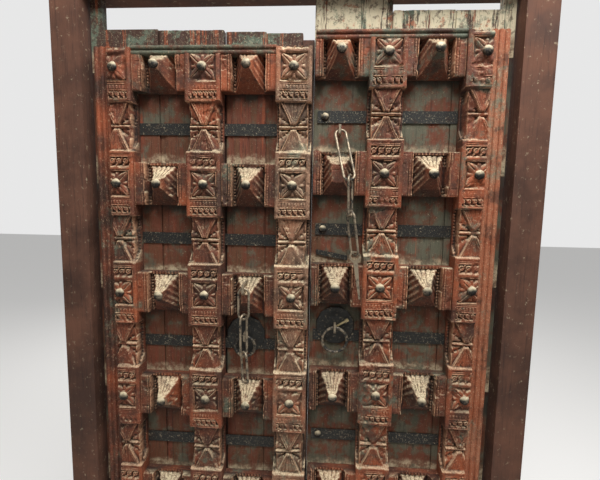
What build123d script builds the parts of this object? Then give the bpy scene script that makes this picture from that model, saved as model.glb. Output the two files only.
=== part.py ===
"""Pair of carved timber door leaves in a plain timber frame, in millimetres.

X runs to the right, Y away from the viewer, Z up. The carved side looks towards -Y.
X = 0 is the middle of the meeting stile, Y = 0 the front face of the planks and
Z = 0 the underside of the threshold. The leaves open away from the viewer.
"""
from build123d import *
from math import cos, radians, sin
import os

# Layout shared by both leaves
stile_spacing = 270.0
row_pitch = 342.0
row_count = 6
first_row_height = 175.0
right_leaf_rise = 40.0
plank_thickness = 28.0

# Stiles: wide blocks at the rails, a narrower shaft with hourglass carving between
block_width = 105.0
block_height = 200.0
block_depth = 60.0
shaft_width = 86.0
shaft_depth = 36.0
hinge_stile_offset = 540.0
hinge_stile_cut = 18.0
stile_foot = 110.0
middle_stile_rise = 38.0
hinge_stile_rise = 18.0

# Carving on the blocks
frieze_width = 84.0
frieze_cut = 6.0
upper_frieze_rise = 66.0
upper_frieze_height = 30.0
lower_frieze_drop = 78.0
lower_frieze_height = 20.0
frieze_leaves = 3
leaf_width = 24.0
leaf_height = 24.0
rosette_size = 80.0
rosette_petal = 50.0
rosette_waist = 13.0

# Hourglass carving on the shafts
hourglass_width = 78.0
hourglass_waist = 18.0
hourglass_relief = 18.0
hourglass_slope = 20.0
roll_height = 9.0
roll_relief = 13.0

# Rails and their bosses
rail_height = 130.0
rail_depth = 48.0
lap_depth = 26.0
pocket_width = 100.0
pocket_floor = 10.0
boss_steps = ((10.0, 94.0, 126.0), (38.0, 62.0, 84.0), (64.0, 36.0, 46.0), (84.0, 24.0, 26.0))

# Mouldings
top_moulding_height = 27.0
top_moulding_depth = 50.0
edge_moulding_width = 52.0
edge_moulding_depth = 40.0
bead_radius = 6.0
edge_bead_count = 3

# Planks: widths from the hinge edge inwards, the open joint after each, and how far every
# plank reaches above the middle stile of its leaf
leaf_reveal = 26.0
plank_foot = 78.0
left_plank_widths = (211.0, 204.0, 123.0)
left_plank_joints = (1.0, 7.0, 1.0)
left_plank_rises = (90.0, 87.0, 81.0, 76.0)
right_plank_widths = (168.0, 180.0)
right_plank_joints = (1.0, 2.0)
right_plank_rises = (95.0, 97.0, 135.0)

# Meeting stile rebate and the gap to the right leaf
tongue_edge = 22.0
tongue_joint = 1.0
tongue_rise = 55.0
meeting_gap = 9.5

# Pivots
pivot_inset = 18.0
pivot_radius = 12.0
pivot_play = 0.5
pivot_length = 30.0
pivot_post_width = 36.0
socket_size = 40.0
socket_floor = 5.0

# Frame
threshold_height = 70.0
threshold_lip = 105.0
lip_depth = 39.0
lip_play = 11.0
frame_front = 50.0
frame_back = 80.0
leaf_play = 6.0
jamb_width = 90.0
lintel_clearance = 14.0
lintel_height = 98.0
head_play = 4.0
frame_tenon = (44.0, 50.0, 55.0)
peg_size = 14.0

# Iron straps across the planks
strap_height = 36.0
strap_thickness = 3.0
strap_play = 0.4
strap_inset = 8.0

# Nails with large six-sided forged heads, driven right through to the back
nail_head_radius = 14.5
nail_head_sides = 6
nail_head_height = 9.0
nail_head_slope = 38.0
nail_shank = 8.0
nail_end = 3.0
washer_radius = 12.0
washer_offset = 93.0
washer_straps = (0, 1, 3, 4)

# Ring handles, chains and the staples they hang from
iron_play = 2.8
plate_thickness = 2.5
plate_crown_radius = 24.0
plate_crown_rise = 2.5
plate_sides = 24
crown_sides = 16
staple_rod = 3.5
staple_half_gap = 7.3
staple_bend = 4.0
staple_root = 20.0
ring_rod = 4.8
ring_sides = 24
rod_flat = 0.55
ring_reach = 22.0
left_plate_centre = (-149.0, 1060.0)
left_plate_radius = 64.0
left_ring_radius = 32.5
left_ring_hang = (-149.0, 1059.5)
right_plate_centre = (140.0, 1103.0)
right_plate_radius = 62.0
right_ring_radius = 39.5
right_ring_hang = (139.0, 1100.0)
locking_peg_radius = 2.8
locking_peg_taper = 1.0
locking_peg_start = 12.0
locking_peg_length = 62.0
locking_peg_slope = 32.0
locking_peg_head = 11.0
locking_peg_head_width = 9.0
link_rod = 3.6
link_half_width = 16.0
link_end_sides = 7
link_seat = 14.0

# Hang points of the chain links, as (x, forward, z), and the turn of each about the vertical
left_chain_top = (-139.0, 92.0, 1234.0)
left_chain_ends = ((-139.0, 92.0, 1140.0), (-138.5, 92.0, 1022.0), (-133.0, 92.0, 938.0))
left_chain_turns = (0.0, 64.0, -48.0)
right_chain_top = (138.0, 22.0, 1712.0)
right_chain_ends = ((169.0, 88.0, 1562.0), (172.0, 88.0, 1457.0), (190.0, 86.0, 1343.0))
right_chain_turns = (0.0, 68.0, -53.0)
hasp_tip = (207.0, 1212.0)
hasp_eye_radius = 16.8
hasp_eye_hole = 11.8
hasp_eye_sides = 16
hasp_width = 15.0
hasp_tip_width = 5.0
hasp_thickness = 4.0
hasp_play = 4.6
latch_bar_left = (74.0, 1340.0)
latch_bar_right = (172.0, 1322.0)
latch_bar_height = 15.0
latch_bar_thickness = 5.0
worn_boss_row = 4
worn_boss_bay = 135.0
worn_boss_depth = 62.0
chain_boss_row = 3
chain_boss_bay = -135.0

# Places worked out from the sizes above
rows = [first_row_height + row_pitch * row for row in range(row_count)]
openings = [row + row_pitch / 2 for row in rows[:-1]]
bays = (stile_spacing / 2, stile_spacing * 3 / 2)
middle_stile_head = rows[-1] + middle_stile_rise
stile_head = middle_stile_head + hinge_stile_rise
tongue_head = middle_stile_head + tongue_rise
left_plank_heads = [middle_stile_head + rise for rise in left_plank_rises]
right_plank_heads = [middle_stile_head + right_leaf_rise + rise for rise in right_plank_rises]
lintel_underside = max(left_plank_heads + right_plank_heads) + lintel_clearance
rail_heads = [row + rail_height / 2 for row in rows[:-1]] + [middle_stile_head]
top_moulding_base = middle_stile_head
hinge_stile_outer = hinge_stile_offset + hinge_stile_cut
edge_moulding_outer = hinge_stile_outer + edge_moulding_width
leaf_edge = edge_moulding_outer + leaf_reveal
pivot_offset = leaf_edge - pivot_inset
jamb_inner = leaf_edge + leaf_play
jamb_outer = jamb_inner + jamb_width
frame_depth = frame_front + frame_back
frame_centre = (frame_back - frame_front) / 2
meeting_edge = block_width / 2
right_leaf_edge = meeting_edge + meeting_gap
left_leaf_edge = tongue_edge - tongue_joint
pivot_depth = plank_thickness / 2
socket_foot = threshold_height - pivot_length - socket_floor


def front(depth):
    """Sketch plane that stands the given depth in front of the planks and faces the viewer."""
    return Plane.XZ.offset(depth)


def save(part, name):
    part.label = name
    export_step(part, "parts/" + name + ".step")


def slab(left, right, low, high, near, far, mode=Mode.ADD):
    """Block between two depths in front of the planks, added to the part being made."""
    with BuildSketch(front(near)) as outline:
        with Locations(((left + right) / 2, (low + high) / 2)):
            Rectangle(right - left, high - low)
    extrude(outline.sketch, amount=far - near, mode=mode)


def post(centre_x, centre_y, low, high, radius, mode=Mode.ADD):
    """Upright round bar between two heights, added to the part being made."""
    with BuildSketch(Plane.XY.offset(low)) as circle:
        with Locations((centre_x, centre_y)):
            Circle(radius)
    extrude(circle.sketch, amount=high - low, mode=mode)


def make_plank(name, left, right, head, pivot_side=0):
    """One board; a hinge board also carries a post with a round pivot at each end."""
    post_head = lintel_underside - head_play
    foot_end = threshold_height - pivot_length + pivot_play
    with BuildPart() as plank:
        slab(left, right, plank_foot, head, -plank_thickness, 0)
        if pivot_side:
            edges = sorted((pivot_side * leaf_edge, pivot_side * (leaf_edge - pivot_post_width)))
            slab(edges[0], edges[1], plank_foot, post_head, -plank_thickness, 0)
            post(pivot_side * pivot_offset, pivot_depth, foot_end, plank_foot, pivot_radius)
            post(pivot_side * pivot_offset, pivot_depth, post_head,
                 lintel_underside + pivot_length, pivot_radius)
    save(plank.part, name)


def make_planks(leaf, side, widths, joints, heads, last_edge):
    """All boards of a leaf, set out from its hinge edge towards the meeting edge."""
    start = side * leaf_edge
    for number, head in enumerate(heads):
        if number < len(widths):
            stop = start - side * widths[number]
        else:
            stop = last_edge
        pivot_side = side if number == 0 else 0
        name = "{}_plank_{}".format(leaf, number + 1)
        make_plank(name, min(start, stop), max(start, stop), head, pivot_side)
        if number < len(widths):
            start = stop - side * joints[number]


# One wedge with sloping edges, wide at its block and narrow at the roll
wedge_reach = (row_pitch - block_height) / 2
with BuildPart() as wedge:
    with BuildSketch(front(shaft_depth)):
        Polygon(
            (-hourglass_width / 2, wedge_reach),
            (hourglass_width / 2, wedge_reach),
            (hourglass_waist / 2, roll_height / 2),
            (-hourglass_waist / 2, roll_height / 2),
            align=None,
        )
    extrude(amount=hourglass_relief)
    draft(wedge.faces().filter_by(Axis.Y, reverse=True), front(shaft_depth), hourglass_slope)

# Two facing wedges and a flat roll between them, centred on one opening
with BuildPart() as hourglass:
    add(wedge.part)
    mirror(about=Plane.XY)
    with BuildSketch(front(shaft_depth)):
        Rectangle(shaft_width, roll_height)
    extrude(amount=roll_relief)

# Hollow-sided pyramid on the floor of its pocket: its side profile cut by its end profile
boss_plan = [(-width / 2, -depth) for depth, width, _ in boss_steps]
boss_plan += [(width / 2, -depth) for depth, width, _ in reversed(boss_steps)]
boss_side = [(-depth, -height / 2) for depth, _, height in boss_steps]
boss_side += [(-depth, height / 2) for depth, _, height in reversed(boss_steps)]
_, boss_width, boss_height = boss_steps[0]
with BuildPart() as boss:
    with BuildSketch(Plane.XY.offset(-boss_height / 2)):
        Polygon(*boss_plan, align=None)
    extrude(amount=boss_height)
    with BuildSketch(Plane.YZ.offset(-boss_width / 2)):
        Polygon(*boss_side, align=None)
    extrude(amount=boss_width, mode=Mode.INTERSECT)

# Sunk ground of one block: a frieze of leaves, a four-petalled square and a plain band
leaf_pitch = frieze_width / frieze_leaves
petal_corners = []
for corner in range(4):
    for turn, reach in ((45, rosette_petal), (90, rosette_waist)):
        angle = radians(corner * 90 + turn)
        petal_corners.append((reach * cos(angle), reach * sin(angle)))
with BuildPart() as block_ground:
    with BuildSketch(front(block_depth - frieze_cut)):
        Rectangle(rosette_size, rosette_size)
        Polygon(*petal_corners, align=None, mode=Mode.SUBTRACT)
        with Locations((0, -lower_frieze_drop)):
            Rectangle(frieze_width, lower_frieze_height)
        with Locations((0, upper_frieze_rise)):
            Rectangle(frieze_width, upper_frieze_height)
        for leaf in range(frieze_leaves):
            tip = leaf_height / 2 if leaf % 2 else -leaf_height / 2
            with Locations((leaf_pitch * (leaf + 0.5) - frieze_width / 2, upper_frieze_rise)):
                Polygon((-leaf_width / 2, -tip), (leaf_width / 2, -tip), (0, tip),
                        align=None, mode=Mode.SUBTRACT)
    extrude(amount=frieze_cut)


def make_stile(name, centre, left, right, head, rise, tongue=False):
    """Carved stile, cut to its own edges, and notched over the rails and straps behind it."""
    foot = stile_foot + rise
    notch_right = tongue_edge if tongue else right
    with BuildPart() as stile:
        slab(centre - shaft_width / 2, centre + shaft_width / 2, foot, head, 0, shaft_depth)
        with BuildSketch(front(0)):
            with Locations(*[(centre, row + rise) for row in rows]):
                Rectangle(block_width, block_height)
        extrude(amount=block_depth)
        with Locations(*[(centre, 0, opening + rise) for opening in openings]):
            add(hourglass.part)
        with Locations(*[(centre, 0, row + rise) for row in rows]):
            add(block_ground.part, mode=Mode.SUBTRACT)
        slab(left, right, foot, head, 0, block_depth, Mode.INTERSECT)
        if tongue:
            slab(tongue_edge, right, plank_foot, tongue_head, -plank_thickness, 0)
        for row, rail_head in zip(rows, rail_heads):
            low = max(row - rail_height / 2, stile_foot)
            slab(left, notch_right, low + rise, rail_head + rise, 0, lap_depth, Mode.SUBTRACT)
        for opening in openings:
            half = strap_height / 2 + strap_play
            middle = opening + rise
            slab(left, notch_right, middle - half, middle + half, 0,
                 strap_thickness + strap_play, Mode.SUBTRACT)
    save(stile.part, name)


def make_rail(name, row, left, right, crossings, bay_centres, rise):
    """Rail halved over each stile, with a boss in a pocket in every bay."""
    low = max(rows[row] - rail_height / 2, stile_foot) + rise
    high = rail_heads[row] + rise
    with BuildPart() as rail:
        slab(left, right, low, high, 0, rail_depth)
        for start, stop in crossings:
            slab(start, stop, low, high, lap_depth, rail_depth, Mode.SUBTRACT)
        for bay in bay_centres:
            slab(bay - pocket_width / 2, bay + pocket_width / 2, low, high,
                 pocket_floor, rail_depth, Mode.SUBTRACT)
        with Locations(*[(bay, 0, rows[row] + rise) for bay in bay_centres]):
            add(boss.part)
        slab(left, right, low, high, 0, block_depth + rail_depth, Mode.INTERSECT)
        if row == worn_boss_row and worn_boss_bay in bay_centres:
            slab(worn_boss_bay - pocket_width / 2, worn_boss_bay + pocket_width / 2, low, high,
                 worn_boss_depth, block_depth + rail_depth, Mode.SUBTRACT)
    save(rail.part, name)


def make_edge_moulding(name, side, rise):
    """Beaded strip up the hinge edge, outside the carved stile."""
    inner = side * hinge_stile_outer
    outer = side * edge_moulding_outer
    board = edge_moulding_depth - bead_radius
    pitch = edge_moulding_width / edge_bead_count
    beads = [inner + side * (bead + 0.5) * pitch for bead in range(edge_bead_count)]
    with BuildPart() as moulding:
        with BuildSketch(Plane.XY.offset(stile_foot + rise)):
            with Locations(((inner + outer) / 2, -board / 2)):
                Rectangle(edge_moulding_width, board)
            with Locations(*[(bead, -board) for bead in beads]):
                Circle(bead_radius)
        extrude(amount=top_moulding_base + top_moulding_height - stile_foot)
    save(moulding.part, name)


def make_top_moulding(name, left, right, rise):
    """Double-beaded strip along the top rail."""
    board = top_moulding_depth - bead_radius
    base = top_moulding_base + rise
    with BuildPart() as moulding:
        with BuildSketch(Plane.YZ.offset(left)):
            with Locations((-board / 2, base + top_moulding_height / 2)):
                Rectangle(board, top_moulding_height)
            with Locations((-board, base + bead_radius), (-board, base + top_moulding_height - bead_radius)):
                Circle(bead_radius)
        extrude(amount=right - left)
    save(moulding.part, name)


def make_straps(name, left, right, rise):
    """One flat iron strap across the planks in the middle of every opening."""
    with BuildPart() as straps:
        with BuildSketch(front(0)):
            with Locations(*[((left + right) / 2, opening + rise) for opening in openings]):
                Rectangle(right - left, strap_height)
        extrude(amount=strap_thickness)
    save(straps.part, name)


def nail(depth, radius, back):
    """Forged nail: faceted domed head, and a square shank that ends just proud at the back."""
    with BuildPart() as piece:
        with BuildSketch(front(depth)):
            RegularPolygon(radius, nail_head_sides)
        extrude(amount=nail_head_height)
        draft(piece.faces().filter_by(Axis.Y, reverse=True), front(depth), nail_head_slope)
        with BuildSketch(front(-back - nail_end)):
            Rectangle(nail_shank, nail_shank)
        extrude(amount=depth + back + nail_end)
    return piece.part


stile_nail = nail(block_depth, nail_head_radius, plank_thickness)
boss_nail = nail(boss_steps[-1][0], nail_head_radius, plank_thickness)
strap_nail = nail(strap_thickness, washer_radius, plank_thickness)


def make_nails(name, stiles, bay_centres, bare, rise, strap_nails=()):
    """All nails of a leaf, apart from the bosses that have none, and those of its straps."""
    boss_places = []
    for row in range(row_count):
        for bay in bay_centres:
            if (row, bay) not in bare:
                boss_places.append((bay, 0, rows[row] + rise))
    with BuildPart() as nails:
        with Locations(*[(stile, 0, row + rise) for stile in stiles for row in rows]):
            add(stile_nail)
        with Locations(*boss_places):
            add(boss_nail)
        if strap_nails:
            with Locations(*[(washer_offset, 0, openings[number] + rise) for number in strap_nails]):
                add(strap_nail)
    save(nails.part, name)


def make_ring_plate(name, centre, radius):
    """Iron plate, cut to a rough round, with a low crown, lying on the strap behind it."""
    with BuildPart() as plate:
        with BuildSketch(front(strap_thickness)):
            with Locations(centre):
                RegularPolygon(radius, plate_sides)
        extrude(amount=plate_thickness)
        with BuildSketch(front(strap_thickness + plate_thickness)):
            with Locations(centre):
                RegularPolygon(plate_crown_radius, crown_sides)
        extrude(amount=plate_crown_rise)
    save(plate.part, name)


def make_staple(name, hang, hung_rod, root):
    """Iron staple with one leg above the other; what hangs in it rests on the lower leg."""
    x, reach, height = hang
    low = height - hung_rod - 2 * staple_rod - iron_play
    high = low + 2 * staple_half_gap + 4 * staple_rod
    crown = reach + hung_rod + iron_play + 2 * staple_rod
    with BuildPart() as staple:
        with BuildSketch(Plane.YZ.offset(x)) as profile:
            with Locations(((-root - crown) / 2, (low + high) / 2)):
                Rectangle(crown - root, high - low)
            chamfer(profile.vertices().group_by(Axis.Y)[0], staple_bend)
            with Locations(((-root - crown) / 2 + staple_rod, (low + high) / 2)):
                Rectangle(crown - root - 2 * staple_rod, 2 * staple_half_gap, mode=Mode.SUBTRACT)
        extrude(amount=staple_rod, both=True)
    save(staple.part, name)


def make_ring(name, hang, radius):
    """Forged ring of many short flats with an eight-sided rod, hanging in front of its plate."""
    x, height = hang
    with BuildPart() as ring:
        with BuildSketch(front(ring_reach)):
            with Locations((x, height - radius)):
                RegularPolygon(radius + ring_rod, ring_sides, major_radius=False)
                RegularPolygon(radius - ring_rod, ring_sides, major_radius=False, mode=Mode.SUBTRACT)
        extrude(amount=ring_rod, both=True)
        chamfer(ring.faces().filter_by(Axis.Y).edges(), ring_rod * rod_flat)
    save(ring.part, name)


def link_plane(top, bottom, turn):
    """Plane of a link: its Y runs up the link and its X across, turned about the vertical."""
    up = (Vector(*top) - Vector(*bottom)).normalized()
    across = Vector(cos(radians(turn)), sin(radians(turn)), 0)
    across = (across - up * across.dot(up)).normalized()
    return Plane(origin=Vector(*top), x_dir=across, z_dir=across.cross(up))


def link_outline(reach, length):
    """Corners of a long loop with a rounded end about each of a link's two bend centres."""
    turns = [radians(180 * side / link_end_sides) for side in range(link_end_sides + 1)]
    upper = [(reach * cos(turn), reach * sin(turn) - link_half_width) for turn in turns]
    return upper + [(-across, -length - up) for across, up in upper]


def make_link(name, top, bottom, turn):
    """Long forged link, between the rod centres of its two ends."""
    start = (top[0], -top[1], top[2])
    stop = (bottom[0], -bottom[1], bottom[2])
    length = (Vector(*start) - Vector(*stop)).length
    with BuildPart() as link:
        with BuildSketch(link_plane(start, stop, turn)):
            Polygon(*link_outline(link_half_width + link_rod, length), align=None)
            Polygon(*link_outline(link_half_width - link_rod, length), align=None, mode=Mode.SUBTRACT)
        extrude(amount=link_rod, both=True)
    save(link.part, name)


def seated(point):
    """Rod centre of a link that hangs in another whose lowest rod centre is the given point."""
    return (point[0], point[1], point[2] + link_seat)


def make_chain(leaf, top, ends, turns):
    for number, (end, turn) in enumerate(zip(ends, turns)):
        start = top if number == 0 else seated(ends[number - 1])
        make_link("{}_chain_link_{}".format(leaf, number + 1), start, end, turn)


os.makedirs("parts", exist_ok=True)

# Left leaf: hinge stile, middle stile and the rebated meeting stile
make_planks("left", -1, left_plank_widths, left_plank_joints, left_plank_heads, left_leaf_edge)
half_block = block_width / 2
left_stiles = (-hinge_stile_offset, -stile_spacing, 0.0)
make_stile("left_hinge_stile", left_stiles[0], -hinge_stile_outer,
           left_stiles[0] + half_block, stile_head, 0)
make_stile("left_middle_stile", left_stiles[1], left_stiles[1] - half_block,
           left_stiles[1] + half_block, middle_stile_head, 0)
make_stile("meeting_stile", left_stiles[2], -meeting_edge, meeting_edge, stile_head, 0, tongue=True)
left_crossings = (
    (-hinge_stile_outer, left_stiles[0] + half_block),
    (left_stiles[1] - half_block, left_stiles[1] + half_block),
    (-meeting_edge, left_leaf_edge),
)
left_bays = (-bays[1], -bays[0])
for row in range(row_count):
    make_rail("left_rail_{}".format(row + 1), row, -hinge_stile_outer, left_leaf_edge,
              left_crossings, left_bays, 0)
make_top_moulding("left_top_moulding", left_stiles[0] + half_block, -meeting_edge, 0)
make_edge_moulding("left_edge_moulding", -1, 0)
make_straps("left_straps", -hinge_stile_outer + strap_inset, left_leaf_edge - strap_inset, 0)
make_nails("left_nails", left_stiles, left_bays, ((chain_boss_row, chain_boss_bay),), 0)

# Right leaf: hinge stile and middle stile
make_planks("right", 1, right_plank_widths, right_plank_joints, right_plank_heads, right_leaf_edge)
right_stiles = (stile_spacing, hinge_stile_offset)
make_stile("right_middle_stile", right_stiles[0], right_stiles[0] - half_block,
           right_stiles[0] + half_block, middle_stile_head + right_leaf_rise, right_leaf_rise)
make_stile("right_hinge_stile", right_stiles[1], right_stiles[1] - half_block,
           hinge_stile_outer, stile_head + right_leaf_rise, right_leaf_rise)
right_crossings = (
    (right_stiles[0] - half_block, right_stiles[0] + half_block),
    (right_stiles[1] - half_block, hinge_stile_outer),
)
for row in range(row_count):
    make_rail("right_rail_{}".format(row + 1), row, right_leaf_edge, hinge_stile_outer,
              right_crossings, bays, right_leaf_rise)
make_top_moulding("right_top_moulding", right_leaf_edge, right_stiles[1] - half_block, right_leaf_rise)
make_edge_moulding("right_edge_moulding", 1, right_leaf_rise)
make_straps("right_straps", right_leaf_edge + strap_inset, hinge_stile_outer - strap_inset, right_leaf_rise)
make_nails("right_nails", right_stiles, bays, ((worn_boss_row, worn_boss_bay),), right_leaf_rise,
           strap_nails=washer_straps)

# Ring handles
make_ring_plate("left_ring_plate", left_plate_centre, left_plate_radius)
make_ring_plate("right_ring_plate", right_plate_centre, right_plate_radius)
left_hang = (left_ring_hang[0], ring_reach, left_ring_hang[1])
right_hang = (right_ring_hang[0], ring_reach, right_ring_hang[1])
make_staple("left_ring_staple", left_hang, ring_rod, -staple_root)
make_staple("right_ring_staple", right_hang, ring_rod, -staple_root)
make_ring("left_ring", left_ring_hang, left_ring_radius)
make_ring("right_ring", right_ring_hang, right_ring_radius)

# Square tapered locking peg with a block head, pushed through the staple behind the right ring
slope = radians(locking_peg_slope)
peg_depth = strap_thickness + plate_thickness + plate_crown_rise + locking_peg_radius + iron_play
peg_middle = right_ring_hang[1] - ring_rod - iron_play + staple_half_gap
peg_axis = Vector(cos(slope), 0, sin(slope))
peg_start = Vector(right_ring_hang[0], -peg_depth, peg_middle) - peg_axis * locking_peg_start
peg_neck = peg_start + peg_axis * (locking_peg_length - locking_peg_head)
peg_section = Plane(origin=peg_neck, x_dir=(0, 1, 0), z_dir=peg_axis)
with BuildPart() as locking_peg:
    with BuildSketch(peg_section):
        Rectangle(2 * locking_peg_radius, 2 * locking_peg_radius)
    extrude(amount=locking_peg_head - locking_peg_length)
    draft(locking_peg.faces().sort_by(SortBy.AREA)[2:], peg_section, -locking_peg_taper)
    with BuildSketch(peg_section):
        Rectangle(locking_peg_head_width, locking_peg_head_width)
    extrude(amount=locking_peg_head)
save(locking_peg.part, "locking_peg")

# Chains, each hung from its own staple
make_staple("left_chain_staple", left_chain_top, link_rod, pocket_floor + staple_root)
make_chain("left", left_chain_top, left_chain_ends, left_chain_turns)
make_staple("right_chain_staple", right_chain_top, link_rod, -staple_root)
make_chain("right", right_chain_top, right_chain_ends, right_chain_turns)

# Tapered hasp with an eye, the last piece of the right chain
hasp_hang = right_chain_ends[-1]
hasp_eye = (hasp_hang[0], hasp_hang[2] + link_rod - hasp_eye_hole + hasp_play)
with BuildPart() as hasp:
    with BuildSketch(front(hasp_hang[1] - hasp_thickness / 2)):
        with Locations(hasp_eye):
            RegularPolygon(hasp_eye_radius, hasp_eye_sides)
        Polygon(
            (hasp_eye[0] - hasp_width / 2, hasp_eye[1]),
            (hasp_eye[0] + hasp_width / 2, hasp_eye[1]),
            (hasp_tip[0] + hasp_tip_width / 2, hasp_tip[1]),
            (hasp_tip[0] - hasp_tip_width / 2, hasp_tip[1]),
            align=None,
        )
        with Locations(hasp_eye):
            RegularPolygon(hasp_eye_hole, hasp_eye_sides, mode=Mode.SUBTRACT)
    extrude(amount=hasp_thickness)
save(hasp.part, "right_hasp")

# Slanting iron bar nailed across the planks of the right leaf
with BuildPart() as latch_bar:
    with BuildSketch(front(0)):
        Polygon(
            (latch_bar_left[0], latch_bar_left[1] - latch_bar_height / 2),
            (latch_bar_right[0], latch_bar_right[1] - latch_bar_height / 2),
            (latch_bar_right[0], latch_bar_right[1] + latch_bar_height / 2),
            (latch_bar_left[0], latch_bar_left[1] + latch_bar_height / 2),
            align=None,
        )
    extrude(amount=latch_bar_thickness)
save(latch_bar.part, "latch_bar")

# Frame: threshold with a lip, lintel and two jambs with tenons held by pegs
jamb_middle = (jamb_inner + jamb_outer) / 2
tenon_width, tenon_depth, tenon_length = frame_tenon
peg_heights = (threshold_height - tenon_length / 2, lintel_underside + tenon_length / 2)


def frame_pegs(mode):
    """Square pegs through the tenons of both jambs, added to or cut from the open part."""
    with BuildSketch(front(-frame_back)) as peg_ends:
        with Locations(*[(side * jamb_middle, height) for side in (-1, 1) for height in peg_heights]):
            Rectangle(peg_size, peg_size)
    extrude(peg_ends.sketch, amount=frame_depth, mode=mode)


def mortises(low, high):
    """Square holes for the jamb tenons, cut from the open part."""
    with BuildSketch(Plane.XY.offset(low)) as holes:
        with Locations(*[(side * jamb_middle, frame_centre) for side in (-1, 1)]):
            Rectangle(tenon_width, tenon_depth)
    extrude(holes.sketch, amount=high - low, mode=Mode.SUBTRACT)


def socket(side, mode):
    """Square iron block let into the threshold, added to or cut from the open part."""
    half = socket_size / 2
    slab(side * pivot_offset - half, side * pivot_offset + half, socket_foot, threshold_height,
         -pivot_depth - half, half - pivot_depth, mode)


with BuildPart() as threshold:
    slab(-jamb_outer, jamb_outer, 0, threshold_height, -frame_back, frame_front)
    slab(-jamb_inner, jamb_inner, threshold_height, threshold_lip, lip_play, lip_play + lip_depth)
    for side in (-1, 1):
        socket(side, Mode.SUBTRACT)
    mortises(threshold_height - tenon_length, threshold_height)
    frame_pegs(Mode.SUBTRACT)
save(threshold.part, "threshold")

with BuildPart() as lintel:
    slab(-jamb_outer, jamb_outer, lintel_underside, lintel_underside + lintel_height,
         -frame_back, frame_front)
    for side in (-1, 1):
        post(side * pivot_offset, pivot_depth, lintel_underside,
             lintel_underside + pivot_length + head_play, pivot_radius + pivot_play, Mode.SUBTRACT)
    mortises(lintel_underside, lintel_underside + tenon_length)
    frame_pegs(Mode.SUBTRACT)
save(lintel.part, "lintel")

for name, side in (("left_jamb", -1), ("right_jamb", 1)):
    with BuildPart() as jamb:
        slab(side * jamb_middle - jamb_width / 2, side * jamb_middle + jamb_width / 2,
             threshold_height, lintel_underside, -frame_back, frame_front)
        with BuildSketch(Plane.XY.offset(threshold_height - tenon_length)):
            with Locations((side * jamb_middle, frame_centre)):
                Rectangle(tenon_width, tenon_depth)
        extrude(amount=lintel_underside - threshold_height + 2 * tenon_length)
        frame_pegs(Mode.SUBTRACT)
    save(jamb.part, name)

with BuildPart() as pegs:
    frame_pegs(Mode.ADD)
save(pegs.part, "frame_pegs")

with BuildPart() as pivot_sockets:
    for side in (-1, 1):
        socket(side, Mode.ADD)
        post(side * pivot_offset, pivot_depth, threshold_height - pivot_length,
             threshold_height, pivot_radius + pivot_play, Mode.SUBTRACT)
save(pivot_sockets.part, "pivot_sockets")
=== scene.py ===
"""Looks of a carved timber double door: carved grid, boards, ironwork, frame, stage and camera.

Shapes are worked out in millimetres on grids of points and written to the meshes in metres.
"""
from math import cos, radians, sin

import bpy
import numpy as np
from mathutils import Matrix, Vector


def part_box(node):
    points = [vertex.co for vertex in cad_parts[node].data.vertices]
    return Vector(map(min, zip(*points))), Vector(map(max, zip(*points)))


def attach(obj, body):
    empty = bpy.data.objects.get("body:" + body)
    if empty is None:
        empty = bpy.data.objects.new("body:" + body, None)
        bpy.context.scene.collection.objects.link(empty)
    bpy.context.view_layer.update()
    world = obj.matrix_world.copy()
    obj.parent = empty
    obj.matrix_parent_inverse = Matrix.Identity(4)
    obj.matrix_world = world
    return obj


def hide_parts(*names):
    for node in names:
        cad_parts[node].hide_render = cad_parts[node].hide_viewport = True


bl_info = {
    "name": "Carved temple door",
    "version": (1, 0, 0),
    "blender": (4, 5, 0),
    "location": "View3D > Sidebar > Door",
    "description": "Dresses the door's frame with carved timber, paint, dust and forged iron",
    "category": "Object",
}

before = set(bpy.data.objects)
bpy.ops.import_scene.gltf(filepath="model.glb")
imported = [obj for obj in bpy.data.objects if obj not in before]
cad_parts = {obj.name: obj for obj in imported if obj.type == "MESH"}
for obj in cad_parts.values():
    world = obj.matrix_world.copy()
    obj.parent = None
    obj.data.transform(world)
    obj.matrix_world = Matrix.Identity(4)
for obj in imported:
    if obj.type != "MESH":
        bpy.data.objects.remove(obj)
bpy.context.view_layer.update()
MM = 0.001

# The photograph's view: place in metres, turns in degrees
CAMERA_PLACE = (0.0983, -1.226, 1.5127)
CAMERA_PITCH = 6.39
CAMERA_YAW = 3.54
CAMERA_ROLL = 0.98
CAMERA_LENS = 23.4

# Grid of the carving, in millimetres
ROW_COUNT = 6
BLOCK_HALF = 52.5
BLOCK_REACH = 100.0
BLOCK_DEPTH = 60.0
SHAFT_HALF = 43.0
SHAFT_DEPTH = 36.0
RAIL_HALF = 65.0
RAIL_DEPTH = 48.0
LAP_DEPTH = 26.0
POCKET_HALF = 50.0
POCKET_FLOOR = 10.0
LEAST_DEPTH = 8.0
STILES = {"left": (-540.0, -270.0, 0.0), "right": (270.0, 540.0)}
BAYS = {"left": (-405.0, -135.0), "right": (135.0, 405.0)}
CHAIN_BOSS = ("left", 4, -135.0)
WORN_BOSS = ("right", 5, 135.0)
WORN_DEPTH = 61.0
STRAP_HALF = 18.0
STRAP_NAILS = (1, 2, 4, 5)
STRAP_NAIL_X = 93.0
PLATE_FRONT = 3.0
MEETING_EDGES = (56.2, 57.2)
BOARD_STEP = (4.0, 8.0)
TONGUE_FRONT, TONGUE_BACK, TONGUE_TOP = 12.0, 20.0, 1945.0

# Boss: its depth at each distance across and up from its middle
BOSS_DEPTHS = (84.0, 64.0, 38.0, 10.0)
BOSS_ACROSS = (12.0, 18.0, 31.0, 47.0)
BOSS_UP = (13.0, 23.0, 42.0, 63.0)
BOSS_TOP = BOSS_DEPTHS[0]

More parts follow.
